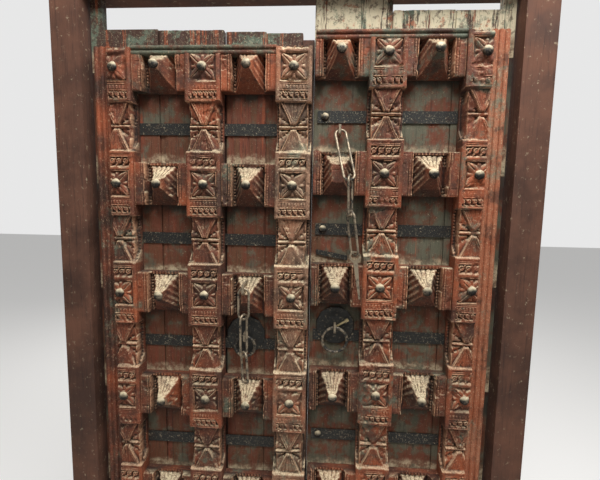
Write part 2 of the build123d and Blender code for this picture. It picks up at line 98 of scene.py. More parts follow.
# Face of a block: places up from its middle, and the square of the rosette
ROSETTE_HALF = 38.0
UPPER_BAND = 66.0
LOWER_BAND = -79.0
TOOTH_BAND = -57.5
TOOTH_PITCH = 9.5
GROOVES = (51.0, 84.0, 89.0, -46.0, -51.0, -64.0, -93.0)

# Forged nail: radius at each height of its dome, and its square shank
NAIL_RADII = (13.2, 14.4, 13.6, 11.2, 7.6, 3.4, 0.8)
NAIL_HEIGHTS = (0.0, 1.6, 4.4, 6.8, 8.3, 9.0, 9.2)
NAIL_SINK = 0.6
SHANK_HALF = 4.0
SHANK_END = 31.0
STRAP_NAIL_SIZE = 0.82

# Ring plate: share of its radius at each height
PLATE_RADII = (0.985, 1.0, 0.99, 0.93, 0.86, 0.8, 0.5, 0.44, 0.38, 0.2, 0.02)
PLATE_HEIGHTS = (0.0, 0.6, 1.8, 2.6, 1.6, 1.2, 1.4, 3.4, 4.6, 4.9, 5.0)
PLATE_SCALLOPS = 12

# First seeds of the noise, and the step from piece to piece
STILE_SEED, STILE_SEED_STEP = 11, 60
RAIL_SEED, RAIL_SEED_STEP = 500, 50
RIGHT_RAIL_SEED = 1500
BOARD_SEED, BOARD_SEED_STEP = 90, 10
NAIL_SEED = 5
LATTICE = 61

# Stage, in metres: place, aim and size of each lamp
KEY_LAMP = ((0.6, -1.15, 3.5), (0.0, 0.0, 1.15), (2.4, 0.9))
BACK_LAMP = ((-0.8, 2.9, 2.9), (0.0, 0.1, 1.0), (2.4, 1.6))
BACK_LAMP_SHARE = 0.55
FLOOR_HALF = 12

# Rod centres of the hanging ironwork as (x, y, z), and turns about the vertical
LINK_HALF = 15.8
LINK_ROD = 3.7
LINK_SEAT = 14.0
LEFT_CHAIN = (
    (-139.0, -92.0, 1234.0),
    ((-139.0, -92.0, 1140.0), (-138.5, -92.0, 1022.0), (-133.0, -92.0, 938.0)),
    (0.0, 64.0, -48.0),
)
RIGHT_CHAIN = (
    (138.0, -22.0, 1712.0),
    ((169.0, -88.0, 1562.0), (172.0, -88.0, 1457.0), (190.0, -86.0, 1343.0)),
    (0.0, 68.0, -53.0),
)
RINGS = {"left": ((-149.0, 1059.5), 32.5), "right": ((139.0, 1100.0), 39.5)}
RING_REACH = 22.0
RING_ROD = 4.8
ROD_SWELL = 0.06

# Largest angle between faces that are shaded smooth, in degrees
TIMBER_SMOOTH, IRON_SMOOTH = 40, 60


def node_box(node):
    """Lowest and highest corner of a node, in millimetres."""
    low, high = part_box(node)
    return np.array(low) / MM, np.array(high) / MM


def rail_middle(leaf, number):
    low, high = node_box(f"{leaf}_rail_{number}")
    return (low[2] + high[2]) / 2


ROW_PITCH = rail_middle("left", 3) - rail_middle("left", 2)
FIRST_ROW = {leaf: rail_middle(leaf, 2) - ROW_PITCH for leaf in ("left", "right")}


def row_height(leaf, number):
    """Middle of a row of bosses, counted from 1 at the foot."""
    return FIRST_ROW[leaf] + (number - 1) * ROW_PITCH


def linear(red, green, blue):
    """Display colour 0 to 255 as the linear colour that shaders take."""
    shares = [value / 255 for value in (red, green, blue)]
    return tuple(s / 12.92 if s < 0.04045 else ((s + 0.055) / 1.055) ** 2.4 for s in shares)


def colour_setting(name, description, red, green, blue):
    return bpy.props.FloatVectorProperty(
        name=name, description=description, default=linear(red, green, blue),
        subtype="COLOR", min=0.0, max=1.0)


class DoorCarvingSettings(bpy.types.PropertyGroup):
    """Sizes of the carving, in millimetres."""

    step: bpy.props.FloatProperty(
        name="Grid step", description="Distance between points of the carved surfaces, in mm",
        default=2.1, min=1.0, max=10.0)
    sink: bpy.props.FloatProperty(
        name="Sunk ground", description="Depth of the ground behind the leaves, in mm",
        default=9.0, min=0.0, max=15.0)
    flute: bpy.props.FloatProperty(
        name="Flute depth", description="Depth of the flutes on bosses and shafts, in mm",
        default=5.0, min=0.0, max=8.0)
    unevenness: bpy.props.FloatProperty(
        name="Unevenness", description="How far hand work and decay move a surface, in mm",
        default=1.3, min=0.0, max=4.0)


class DoorColourSettings(bpy.types.PropertyGroup):
    """Colours of timber, paint, dust and iron."""

    red_wood: colour_setting("Red wood", "Worn red paint on carved timber", 128, 68, 44)
    dark_wood: colour_setting("Dark wood", "Bare aged timber in the carving", 70, 44, 32)
    maroon: colour_setting("Maroon", "Dark red paint left on boards", 118, 60, 40)
    orange: colour_setting("Orange", "Brighter red paint on worn edges", 172, 88, 50)
    # Rubbed edges, also used as the painted highlight on the proud carving.
    worn_edge_and_highlight: colour_setting("Worn edge", "Rubbed edges of the carving", 204, 154, 118)
    dust: colour_setting("Dust", "Pale dust on every ledge", 232, 214, 176)
    teal: colour_setting("Teal", "Old green paint", 96, 108, 90)
    # Dark colour for grime in the cuts, and also for painted shade in recesses, under ledges and in
    # gaps.
    pit: colour_setting("Grime", "Grime in the deep cuts", 30, 18, 16)
    board: colour_setting("Board", "Dark boards behind the grid", 104, 68, 44)
    cream_paint: colour_setting("Cream paint", "Flaking paint on the board heads", 216, 204, 172)
    iron: colour_setting("Iron", "Dark forged iron", 60, 60, 58)
    rubbed_iron: colour_setting("Rubbed iron", "Iron rubbed bright by hands", 172, 156, 132)
    brass: colour_setting("Brass", "Pale yellow metal of the locking peg", 214, 196, 150)
    frame_wood: colour_setting("Frame wood", "Timber of the plain frame", 112, 74, 56)


class DoorStageSettings(bpy.types.PropertyGroup):
    """Floor and lamps."""

    floor: colour_setting("Floor", "Plain pale floor", 226, 224, 220)
    floor_glow: bpy.props.FloatProperty(
        name="Floor glow", description="Light added to the floor as the camera sees it",
        default=0.3, min=0.0)
    key: bpy.props.FloatProperty(
        name="Key lamp", description="Power of the large lamp above the viewer",
        default=93.0, min=0.0, unit="POWER")
    fill: bpy.props.FloatProperty(
        name="Sky", description="Strength of the even light from all round",
        default=0.25, min=0.0)


def carving():
    return bpy.context.scene.door_carving


def colours():
    return bpy.context.scene.door_colours


def linked(name, data):
    """New object for a mesh, lamp or camera, linked into the scene."""
    made = bpy.data.objects.new(name, data)
    bpy.context.scene.collection.objects.link(made)
    return made


# Shape helpers
def ramp(values, start, stop):
    """Smooth step: 0 before start, 1 after stop, a cubic between them."""
    share = np.clip((values - start) / (stop - start), 0, 1)
    return share * share * (3 - 2 * share)


def hump(values, half):
    """Round ridge: the upper half of a circle of that half width, with height 1."""
    return np.sqrt(np.clip(1 - (values / half) ** 2, 0, 1))


def lattice_noise(across, up, size, seed):
    """Even noise from -1 to 1: random values on a square lattice, blended by smooth steps."""
    table = np.random.default_rng(seed).uniform(-1, 1, (LATTICE, LATTICE))
    i, j = np.floor(across / size).astype(int), np.floor(up / size).astype(int)
    p, q = ramp(across / size - i, 0, 1), ramp(up / size - j, 0, 1)
    i, j, i1, j1 = i % LATTICE, j % LATTICE, (i + 1) % LATTICE, (j + 1) % LATTICE
    low = table[i, j] * (1 - p) + table[i1, j] * p
    high = table[i, j1] * (1 - p) + table[i1, j1] * p
    return low * (1 - q) + high * q


def rough(across, up, seed):
    """Three sizes of lattice noise added, each half as strong as the one before."""
    total = 0
    for octave, size in enumerate((46.0, 17.0, 6.5)):
        total = total + lattice_noise(across, up, size, seed + octave) / 2 ** octave
    return total / 1.75


def round_angles(count):
    """Even angles round a full circle, in radians."""
    return np.linspace(0, 2 * np.pi, count, endpoint=False)


def blurred(field, cells):
    """Mean over a square window of 2 cells + 1 points a side, by running sums."""
    for axis in (0, 1):
        wide = [(cells + 1, cells) if a == axis else (0, 0) for a in (0, 1)]
        sums = np.cumsum(np.pad(field, wide, mode="edge"), axis=axis)
        count = field.shape[axis]
        upper = np.take(sums, np.arange(2 * cells + 1, 2 * cells + 1 + count), axis=axis)
        lower = np.take(sums, np.arange(count), axis=axis)
        field = (upper - lower) / (2 * cells + 1)
    return field


def aged(depth, along, across, seed):
    """Softens a height field in patches, as touch and weather do, and opens cracks along the
    grain: thin lines where slow noise, drawn out along the grain, passes through zero."""
    patches = ramp(rough(along + 40, across + 70, seed), 0.0, 0.45)
    depth = depth * (1 - patches) + blurred(depth, 2) * patches
    line = abs(lattice_noise(across, along / 9, 13.0, seed + 5))
    open_here = ramp(lattice_noise(across + 31, along + 17, 70.0, seed + 9), 0.05, 0.4)
    return depth - 2.2 * (1 - ramp(line, 0.0, 0.06)) * open_here


class Surface:
    """Points, faces and named values per point, gathered from closed shells."""

    def __init__(self):
        self.points = []
        self.faces = []
        self.marks = {"dust": [], "wear": [], "pit": []}
        self.count = 0

    def add(self, points, faces, **marks):
        """Adds one shell: points as rows, faces as index arrays with equal corner counts."""
        self.points.append(np.asarray(points, float))
        self.faces += [np.asarray(block, int) + self.count for block in faces]
        for name, parts in self.marks.items():
            parts.append(np.broadcast_to(marks.get(name, 0.0), len(points)))
        self.count += len(points)

    def make(self, name, body, material, replaced, smooth=TIMBER_SMOOTH):
        """Writes the shells to one mesh object that rides on a body and stands for the nodes."""
        mesh = bpy.data.meshes.new(name)
        points = np.concatenate(self.points) * MM
        corners = np.concatenate([block.ravel() for block in self.faces])
        sizes = np.concatenate([np.full(len(block), block.shape[1]) for block in self.faces])
        for items, key, values in ((mesh.vertices, "co", points),
                                   (mesh.loops, "vertex_index", corners),
                                   (mesh.polygons, "loop_start", np.cumsum(sizes) - sizes)):
            items.add(len(values))
            items.foreach_set(key, values.ravel())
        mesh.update(calc_edges=True)
        for mark, parts in self.marks.items():
            layer = mesh.attributes.new(mark, "FLOAT", "POINT")
            layer.data.foreach_set("value", np.concatenate(parts).astype(np.float32))
        mesh.shade_smooth()
        mesh.set_sharp_from_angle(angle=radians(smooth))
        mesh.materials.append(material)
        piece = linked(name, mesh)
        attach(piece, body)
        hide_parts(*replaced)
        return piece


def add_box(surface, low, high, **marks):
    """Closed box between two corners."""
    x, y, z = [(low[axis], high[axis]) for axis in range(3)]
    points = [(x[i], y[j], z[k]) for k in (0, 1) for j in (0, 1) for i in (0, 1)]
    faces = [(0, 2, 3, 1), (4, 5, 7, 6), (0, 1, 5, 4), (2, 6, 7, 3), (0, 4, 6, 2), (1, 3, 7, 5)]
    surface.add(points, [faces], **marks)


def add_relief(surface, across, up, depth, back):
    """Closed slab whose front is a height field: y = -depth at each (x, z) of a grid.

    The back is flat across and follows its own depth up the slab. Dust marks where the front
    faces up. Where it stands proud of its blurred copy it is marked as rubbed edges that also
    serve as a painted highlight. Where it lies below that copy it is marked as grime and painted
    shade, and where it faces down, and on the slab's sides, as painted shade.
    """
    wide, tall = len(across), len(up)
    step = across[1] - across[0]
    x, z = np.meshgrid(across, up)
    front = np.stack([x, -depth, z], axis=-1).reshape(-1, 3)
    sides = [np.stack([np.full(tall, edge), -back, up], axis=-1)
             for edge in (across[0], across[-1])]
    grid = np.arange(wide * tall).reshape(tall, wide)
    left, right = wide * tall + np.arange(tall), wide * tall + tall + np.arange(tall)

    def strip(a, b):
        """Quads between two columns of points, seen from where a is on the left."""
        return np.stack([a[:-1], b[:-1], b[1:], a[1:]], axis=-1).reshape(-1, 4)

    cells = [grid[:-1, :-1], grid[:-1, 1:], grid[1:, 1:], grid[1:, :-1]]
    quads = [
        np.stack(cells, axis=-1).reshape(-1, 4),
        strip(left, grid[:, 0]),
        strip(grid[:, -1], right),
        strip(right, left),
    ]
    head = np.concatenate([grid[-1], [right[-1], left[-1]]])[None]
    foot = np.concatenate([grid[0, ::-1], [left[0], right[0]]])[None]
    upward = np.clip(-np.gradient(depth, step, axis=0), 0, 1.2) / 1.2
    small, medium, large = [max(1, round(reach / step)) for reach in (3, 5, 7)]
    near, far = blurred(depth, small), blurred(depth, large)
    # Grime and painted shade in the cuts: higher where the front lies below its blurred copy.
    pit = np.clip((far - depth - 0.6) / 3.6, 0, 1)
    # Painted shade on faces that turn down, away from the lamps above.
    downward = np.clip(np.gradient(blurred(depth, 1), step, axis=0), 0, 1.2) / 1.2
    pit = np.maximum(pit, 0.5 * ramp(downward, 0.3, 0.85))
    settled = ramp(upward, 0.3, 0.85) + 0.6 * ramp(blurred(upward, medium), 0.3, 0.7)
    dust = np.clip(settled, 0, 1) * (1 - 0.75 * ramp(pit, 0.35, 0.9))
    # Rubbed edges, also a painted highlight: higher where the front stands proud of its blurred
    # copy.
    wear = np.clip((depth - near - 0.5) / 2.2, 0, 1)
    # The slab's sides get a fixed share of painted shade, as between parts.
    sides_too = (0, 2 * tall)
    surface.add(
        np.concatenate([front] + sides), [np.concatenate(quads), head, foot],
        dust=np.pad(dust.ravel(), sides_too), wear=np.pad(wear.ravel(), sides_too),
        pit=np.pad(pit.ravel(), sides_too, constant_values=0.4))


def turned(radii, heights, sides):
    """Shell turned about -Y: rings of the given radii, each the given height forward."""
    angles = round_angles(sides)
    radii, heights = np.asarray(radii)[:, None], np.asarray(heights)[:, None]
    x, z = radii * np.cos(angles), radii * np.sin(angles)
    points = np.stack([x, -heights + 0 * x, z], axis=-1).reshape(-1, 3)
    rings = np.arange(len(points)).reshape(-1, sides)
    after = np.roll(rings, -1, axis=1)
    quads = np.stack([rings[:-1], after[:-1], after[1:], rings[1:]], axis=-1).reshape(-1, 4)
    return points, [quads, rings[-1][None], rings[0, ::-1][None]]


def rod_loop(path, outward, normal, radius, sides=10):
    """Closed rod: a circle in the plane of outward and normal, carried along a closed path.

    The circle's radius swells and shrinks a little along the path, as hammered rod does.
    """
    count = len(path)
    angles = round_angles(sides)
    swell = 1 + ROD_SWELL * np.sin(np.arange(count) * 1.7) * np.cos(np.arange(count) * 0.6)
    ring = np.cos(angles)[None, :, None] * outward[:, None, :]
    ring = ring + np.sin(angles)[None, :, None] * normal[None, None, :]
    points = (path[:, None, :] + ring * (radius * swell)[:, None, None]).reshape(-1, 3)
    index = np.arange(count * sides).reshape(count, sides)
    along, round_ = np.roll(index, -1, axis=0), np.roll(index, -1, axis=1)
    both = np.roll(along, -1, axis=1)
    quads = np.stack([index, along, both, round_], axis=-1).reshape(-1, 4)
    return points, [quads]


# Carving: each returns a depth in millimetres for points across and up from a centre
def rosette(u, v):
    """Square of four diagonal petals with mid ribs, small buds between, and a round middle."""
    sink = carving().sink
    turned_u, turned_v = (abs(u) + abs(v)) / np.sqrt(2), (abs(u) - abs(v)) / np.sqrt(2)
    reach = np.clip(turned_u / 50, 0, 1)
    half = 13.5 * np.sin(np.pi * reach ** 0.8) ** 0.7 + 0.01
    petal = hump(turned_v, half) * ramp(turned_u, 8, 14) - 0.45 * hump(turned_v, 1.8)
    axis, side = np.maximum(abs(u), abs(v)), np.minimum(abs(u), abs(v))
    bud = hump(side, 5.5) * ramp(axis, 12, 18) * ramp(-axis, -36, -28) * 0.7
    ring = ramp(-np.hypot(u, v), -17, -14)
    return -sink + sink * np.clip(np.maximum(np.maximum(petal, bud), ring), 0, 1)


def scroll_band(u, v, half, pitch, lean):
    """Row of leaf scrolls: a curl and a leaning stroke in every cell of the pitch."""
    cell = (u / pitch) % 1.0 * pitch - pitch / 2
    reach = np.hypot(cell + 2.2 * lean, v - 1.5)
    curl = ramp(-abs(reach - half * 0.45), -3.2, -1.2)
    stroke = ramp(-abs(cell * 0.75 - lean * v * 0.65), -3.4, -1.4)
    eye = ramp(-reach, -2.6, -1.0)
    return np.maximum(np.maximum(curl, stroke * 0.9), eye)


def block_depth(u, v):
    """Face of a block: border, rosette square in the middle, scroll bands above and below."""
    sink = carving().sink
    depth = np.full(np.broadcast(u, v).shape, BLOCK_DEPTH)
    square = np.maximum(abs(u), abs(v))
    depth = np.where(square < ROSETTE_HALF, depth + rosette(u, v), depth)
    depth -= 3.5 * ramp(-abs(square - ROSETTE_HALF - 2), -1.8, -0.4)
    panel = ramp(-abs(u), -42.5, -40.5)
    top = ramp(-abs(v - UPPER_BAND), -14, -12) * panel
    depth -= top * sink * (1 - scroll_band(u, v - UPPER_BAND, 13.0, 20.4, 1.0))
    low = ramp(-abs(v - LOWER_BAND), -11.5, -9.5) * panel
    depth -= low * sink * 0.85 * (1 - scroll_band(u, v - LOWER_BAND, 10.0, 16.8, -1.0))
    for height in GROOVES:
        depth -= 2.8 * hump(v - height, 1.9) * panel
    tooth = ramp(np.cos(u * 2 * np.pi / TOOTH_PITCH), -0.2, 0.5)
    depth -= 2.6 * (1 - tooth) * ramp(-abs(v - TOOTH_BAND), -5.5, -4.0) * panel
    edge = np.minimum(BLOCK_HALF - abs(u), BLOCK_REACH - abs(v))
    return depth - 3.0 * (1 - ramp(edge, 0, 4.0))


def shaft_face(u, t):
    """Shaft between blocks: hourglass of two ridged wedges, a cross roll, corner leaves and
    low bead strips beside the shaft."""
    flute = carving().flute
    rise, side = abs(t), abs(u)
    half = 8 + 31 * np.clip((rise - 5) / 66, 0, 1) ** 1.1
    inside = ramp(half - side, -1.5, 1.5)
    ridge = hump(side - half + 2.5, 2.6) + 0.8 * hump(side - half + 8.5, 2.0)
    vein = hump(u, 1.6) + hump(side - half * 0.36, 1.5)
    wedge = 14 + 3.5 * ridge - 0.35 * flute * vein * ramp(rise, 14, 26)
    spread = np.arctan2(rise - 3, side + 2)
    leaf = 8.5 * abs(np.sin(spread * 5.5)) ** 0.8 * ramp(np.hypot(side, rise), 10, 24)
    curl = 6 * ramp(-abs(np.hypot(side - 29, rise - 22) - 7), -4, -1)
    corner = np.maximum(leaf, curl) + 4 * hump(side - 40.5, 3)
    roll = 13 * hump(t, 5.5) - 4 * hump(rise - 8, 2.6)
    depth = SHAFT_DEPTH + np.where(rise > 6, inside * wedge + (1 - inside) * corner, 0)
    rolled = np.maximum(SHAFT_DEPTH + roll, depth - 6 * ramp(-rise, -10, -6))
    depth = np.where(rise <= 10, rolled, depth)
    bead = 5 * hump((t % 9.5) - 4.75, 4.2) * hump(side - 47.2, 3.4)
    bracket = 22 * ramp(-t, 36, 70) + 10 * ramp(t, 56, 70)
    strip = 11 + bracket + bead + 4 * hump(side - BLOCK_HALF + 0.6, 1.8)
    return np.where(side > SHAFT_HALF, strip, depth)


def stile_relief(leaf, centre, across, up, seed):
    """Depth of a whole stile: blocks at the rows and shafts between, moved a little by hand."""
    u, z = np.meshgrid(across - centre, up)
    drift = 0.9 * lattice_noise(u + 90, z, 60.0, seed)
    u, z = u + drift, z + 0.9 * lattice_noise(u + 90, z, 50.0, seed + 7)
    row = np.clip(np.round((z - FIRST_ROW[leaf]) / ROW_PITCH), 0, ROW_COUNT - 1)
    v = z - FIRST_ROW[leaf] - row * ROW_PITCH
    t = v - np.sign(v) * ROW_PITCH / 2
    depth = np.where(abs(v) < BLOCK_REACH, block_depth(u, v), shaft_face(u, t))
    depth += carving().unevenness * 0.8 * rough(u + 200, z, seed + 20)
    chips = ramp(rough(u + 300, z, seed + 40), 0.34, 0.5)
    return np.clip(aged(depth, z, u + 200, seed + 60) - 2.8 * chips, LEAST_DEPTH, BLOCK_DEPTH + 0.3)


def boss_depth(u, v):
    """Hollow-sided pyramid: the lesser of a profile across and one up, with fluted facets."""
    flute = carving().flute
    side = np.interp(abs(u), BOSS_ACROSS, BOSS_DEPTHS)
    rise = np.interp(abs(v), BOSS_UP, BOSS_DEPTHS)
    depth = np.minimum(side, rise)
    facing = ramp(side - rise, -2, 4)
    half = np.interp(abs(v), BOSS_UP, BOSS_ACROSS)
    share = np.clip(u / half, -1, 1)
    petals = abs(np.cos(share * np.pi * 2.5))
    upper = facing * ramp(v, 12, 22)
    depth -= upper * flute * 1.5 * (1 - petals ** 0.7) * ramp(-v, -62, -50)
    lower = facing * ramp(-v, 12, 26)
    depth -= lower * flute * 0.5 * (1 - abs(np.cos(share * np.pi * 1.5)) ** 0.5)
    other = 1 - facing
    veins = abs(np.sin((v * 0.7 + abs(u)) * 0.21))
    return depth - other * flute * 1.1 * veins * ramp(abs(u), 15, 22)


def rail_relief(leaf, number, across, up, seed):
    """Depth of a rail: laps behind the stiles, plain flats, and a boss in a pocket per bay."""
    x, z = np.meshgrid(across, up)
    wave = 0.8 * lattice_noise(x, z, 50.0, seed)
    v = z - row_height(leaf, number) + wave
    depth = np.full(x.shape, RAIL_DEPTH)
    depth -= 2.5 * (1 - ramp(RAIL_HALF - abs(v), 0, 4))
    for bay in BAYS[leaf]:
        u = x - bay + wave
        side = abs(u)
        pocket = side < POCKET_HALF
        beads = hump(np.maximum(side - 43, 0) - 4.5, 3.2) * hump((v % 9.5) - 4.75, 4.4)
        floor = POCKET_FLOOR + 10 * beads
        floor = floor + 16 * ramp(v, 55, 57.5) * (0.7 + 0.3 * ramp(np.cos(u * 0.62), -0.3, 0.4))
        body = np.maximum(floor, boss_depth(u, v))
        if (leaf, number, bay) == WORN_BOSS:
            body = np.minimum(body, WORN_DEPTH - 3 + 3 * rough(x, z, seed + 3))
        body = np.minimum(body, BOSS_TOP)
        depth = np.where(pocket, body, depth)
        fillet = 2.0 * hump(side - 52.2, 1.6) - 4.0 * hump(side - 55.2, 1.5)
        bead = 2.2 * hump(side - 59.2, 2.6) * hump((v % 7.5) - 3.75, 3.4)
        groove = -3.0 * hump(side - 63.2, 1.2)
        depth += np.where(side > POCKET_HALF, fillet + bead + groove, 0)
    depth += carving().unevenness * rough(x + 500, z, seed + 20)
    chips = ramp(rough(x + 900, z, seed + 40), 0.34, 0.5)
    depth = aged(depth, x, z, seed + 60) - 3 * chips * (depth > 30)
    depth = np.clip(depth, LEAST_DEPTH, BOSS_TOP)
    for centre in STILES[leaf]:
        depth = np.where(abs(x - centre) < BLOCK_HALF - 0.2, LAP_DEPTH - 1.5, depth)
    return depth


# Node trees
class Paints:
    """Short calls that add nodes to one material and wire them."""

    def __init__(self, name):
        self.material = bpy.data.materials.new(name)
        self.material.use_nodes = True
        self.tree = self.material.node_tree
        self.shader = self.tree.nodes["Principled BSDF"]
        self.place = self.node("TexCoord").outputs["Object"]

    def node(self, kind, **settings):
        made = self.tree.nodes.new("ShaderNode" + kind)
        for key, value in settings.items():
            setattr(made, key, value)
        return made

    def feed(self, socket, value):
        """Wires an output, or writes a plain value, into a socket."""
        if isinstance(value, bpy.types.NodeSocket):
            self.tree.links.new(value, socket)
        elif socket.type == "RGBA":
            socket.default_value = (*value, 1.0)
        else:
            socket.default_value = value

    def stretched(self, x, y, z, shift=0.0):
        """The object's own coordinates, scaled, and moved along X."""
        mapping = self.node("Mapping")
        mapping.inputs["Location"].default_value = (shift, 0.0, 0.0)
        mapping.inputs["Scale"].default_value = (x, y, z)
        self.feed(mapping.inputs["Vector"], self.place)
        return mapping.outputs["Vector"]

    def noise(self, scale, detail, rough, place=None):
        made = self.node("TexNoise")
        for socket, value in (("Scale", scale), ("Detail", detail), ("Roughness", rough)):
            made.inputs[socket].default_value = value
        self.feed(made.inputs["Vector"], place or self.place)
        return made.outputs["Fac"]

    def span(self, value, low, high, to_low=0.0, to_high=1.0):
        """Value taken from one range to another, held at its ends."""
        made = self.node("MapRange", interpolation_type="SMOOTHSTEP")
        self.feed(made.inputs["Value"], value)
        for socket, number in zip(("From Min", "From Max", "To Min", "To Max"),
                                  (low, high, to_low, to_high)):
            made.inputs[socket].default_value = number
        return made.outputs["Result"]

    def math(self, operation, a, b, clamp=True):
        made = self.node("Math", operation=operation, use_clamp=clamp)
        self.feed(made.inputs[0], a)
        self.feed(made.inputs[1], b)
        return made.outputs[0]

    def times(self, a, b):
        return self.math("MULTIPLY", a, b)

    def blend(self, share, first, second):
        made = self.node("Mix", data_type="RGBA")
        self.feed(made.inputs["Factor"], share)
        self.feed(made.inputs[6], first)
        self.feed(made.inputs[7], second)
        return made.outputs[2]

    def layers(self, colour, *rows):
        """Lays colours over one another, by rows of value, low, high, greatest share, colour."""
        for value, low, high, most, over in rows:
            colour = self.blend(self.span(value, low, high, 0, most), colour, over)
        return colour

    def mark(self, name):
        return self.node("Attribute", attribute_name=name).outputs["Fac"]

    def height(self, axis):
        split = self.node("SeparateXYZ")
        self.feed(split.inputs[0], self.place)
        return split.outputs[axis]

    def finish(self, colour, roughness, bump, strength, distance):
        self.feed(self.shader.inputs["Base Color"], colour)
        self.feed(self.shader.inputs["Roughness"], roughness)
        made = self.node("Bump")
        made.inputs["Strength"].default_value = strength
        made.inputs["Distance"].default_value = distance
        self.feed(made.inputs["Height"], bump)
        self.feed(self.shader.inputs["Normal"], made.outputs["Normal"])
        return self.material


def carved_paint(name, upright, orange, teal, dusty, pale=0.0):
    """Carved timber: worn red over dark wood, patches of orange and green, rubbed edges that
    also serve as painted highlights, grime and painted shade in the cuts, painted shade on faces
    that turn down and in gaps, and dust on the ledges, from the marks that the carving carries."""
    c, p = colours(), Paints(name)
    fibre = p.stretched(1.0, 1.0, 0.12) if upright else p.stretched(0.12, 1.0, 1.0)
    grain = p.noise(260.0, 5.0, 0.7, fibre)
    patches = p.noise(11.0, 5.0, 0.65)
    specks = p.noise(85.0, 5.0, 0.7)
    large = p.noise(4.2, 3.0, 0.6)
    green = p.noise(7.5, 6.0, 0.75)
    flecks = p.noise(170.0, 8.0, 0.85)
    stains = p.noise(17.0, 6.0, 0.7)
    colour = p.layers(
        c.dark_wood,
        (patches, 0.36, 0.66, 1.0, c.red_wood),
        (large, 0.62 - 0.28 * orange, 0.8 - 0.2 * orange, 0.9, c.orange),
        (green, 0.62 - 0.3 * teal, 0.72 - 0.22 * teal, 0.85, c.teal),
        (grain, 0.52, 0.75, 0.45, c.dark_wood),
        (specks, 0.58, 0.7, 0.45 + pale, c.worn_edge_and_highlight),
        (patches, 0.2, 0.75, pale, c.dust),
        (flecks, 0.46, 0.38, 0.7, c.pit),
        (flecks, 0.56, 0.62, 0.45 + pale, c.dust),
        (stains, 0.5, 0.34, 0.75, c.dark_wood))
    # Grime and painted shade: the dark colour laid by the carving's grime and shade mark.
    cut_grime_and_shade = p.times(p.mark("pit"), p.span(specks, 0.25, 0.6, 1.0, 0.8))
    colour = p.blend(cut_grime_and_shade, colour, c.pit)
    # Rubbed edges, also a painted highlight on the proud carving, in the worn-edge colour.
    rub_and_highlight = p.times(p.mark("wear"), p.span(specks, 0.36, 0.56, 0.15, 1.0))
    colour = p.blend(rub_and_highlight, colour, c.worn_edge_and_highlight)
    settle = p.times(p.mark("dust"), dusty)
    for value, low, high, least in ((flecks, 0.4, 0.54, 0.12), (grain, 0.62, 0.5, 0.35),
                                    (large, 0.25, 0.6, 0.55), (stains, 0.34, 0.5, 0.45)):
        settle = p.times(settle, p.span(value, low, high, least, 1.0))
    colour = p.blend(settle, colour, c.dust)
    relief = p.math("ADD", p.times(grain, 0.5), p.times(flecks, 0.5))
    return p.finish(colour, p.span(specks, 0.2, 0.8, 0.62, 0.9), relief, 0.9, 0.003)


def board_paint(name, seed_shift, heads, first_row, faded):
    """Upright boards: dark red-brown with long fibres and green stains, dust low in every
    opening, and flaking cream, green and red paint above the grid."""
    c, p = colours(), Paints(name)
    grain = p.stretched(1.0, 1.0, 0.07, seed_shift)
    fibre = p.noise(190.0, 6.0, 0.72, grain)
    streak = p.noise(38.0, 5.0, 0.7, grain)
    patches = p.noise(10.0, 6.0, 0.7)
    flakes = p.noise(42.0, 6.0, 0.75)
    specks = p.noise(150.0, 8.0, 0.85)
    green = 0.5 - 0.08 * faded
    colour = p.layers(
        c.board,
        (streak, 0.35, 0.65, 1.0, c.maroon),
        (patches, green, green + 0.14, 0.7, c.teal),
        (fibre, 0.5, 0.74, 0.7, c.pit),
        (specks, 0.58, 0.66, 0.5, c.dust),
        (streak, 0.6, 0.68, 0.5, c.orange))
    # Grime and painted shade from the boards' marks: in cracks and along worn arrises, and painted
    # shade on faces that turn down, on the sides and on the tongue.
    colour = p.blend(p.mark("pit"), colour, c.pit)
    share = p.math("SUBTRACT", p.height("Z"), first_row, False)
    share = p.math("FRACT", p.math("DIVIDE", share, ROW_PITCH * MM, False), 0.0, False)
    wander = p.math("ADD", share, p.span(patches, 0.2, 0.8, -0.06, 0.06), False)
    ahead = p.span(p.height("Y"), 0.008, 0.004)
    low_dust = p.times(p.span(wander, 0.27, 0.19), p.span(flakes, 0.4, 0.6, 0.1, 0.75))
    colour = p.blend(p.times(low_dust, ahead), colour, c.dust)
    shade = p.times(p.span(wander, 0.72, 0.82, 0, 0.7), ahead)
    colour = p.blend(shade, colour, c.pit)
    head = p.span(p.height("Z"), heads - 0.03, heads + 0.01)
    peel = p.noise(24.0, 6.0, 0.8, grain)
    bare = 0.6 - 0.19 * faded
    old = p.layers(
        c.teal,
        (patches, 0.42, 0.5, 1.0, c.dark_wood),
        (streak, 0.54, 0.62, 0.7, c.orange),
        (specks, 0.54, 0.62, 0.6, c.dust),
        (peel, bare, bare + 0.06, 0.95, c.cream_paint),
        (p.noise(19.0, 6.0, 0.75), 0.53, 0.6, 0.65 * faded, c.teal),
        (p.noise(31.0, 5.0, 0.7), 0.58, 0.64, 0.6 * faded, c.orange),
        (flakes, 0.52, 0.6, 0.75 - 0.1 * faded, c.dark_wood))
    colour = p.blend(head, colour, old)
    relief = p.math("ADD", p.times(fibre, 0.7), p.times(flakes, 0.5))
    return p.finish(colour, p.span(flakes, 0.2, 0.8, 0.6, 0.9), relief, 0.9, 0.005)


def frame_paint(name, upright):
    """Plain weathered timber with long fibres and small cracks."""
    c, p = colours(), Paints(name)
    grain = p.stretched(1.0, 1.0, 0.05) if upright else p.stretched(0.05, 1.0, 1.0)
    fibre = p.noise(120.0, 6.0, 0.7, grain)
    patches = p.noise(7.0, 5.0, 0.6)
    colour = p.layers(
        c.dark_wood,
        (patches, 0.3, 0.7, 1.0, c.frame_wood),
        (fibre, 0.5, 0.75, 0.7, c.pit),
        (p.noise(60.0, 5.0, 0.7), 0.58, 0.75, 0.5, c.dust))
    return p.finish(colour, p.span(patches, 0.2, 0.8, 0.65, 0.9), fibre, 0.6, 0.003)


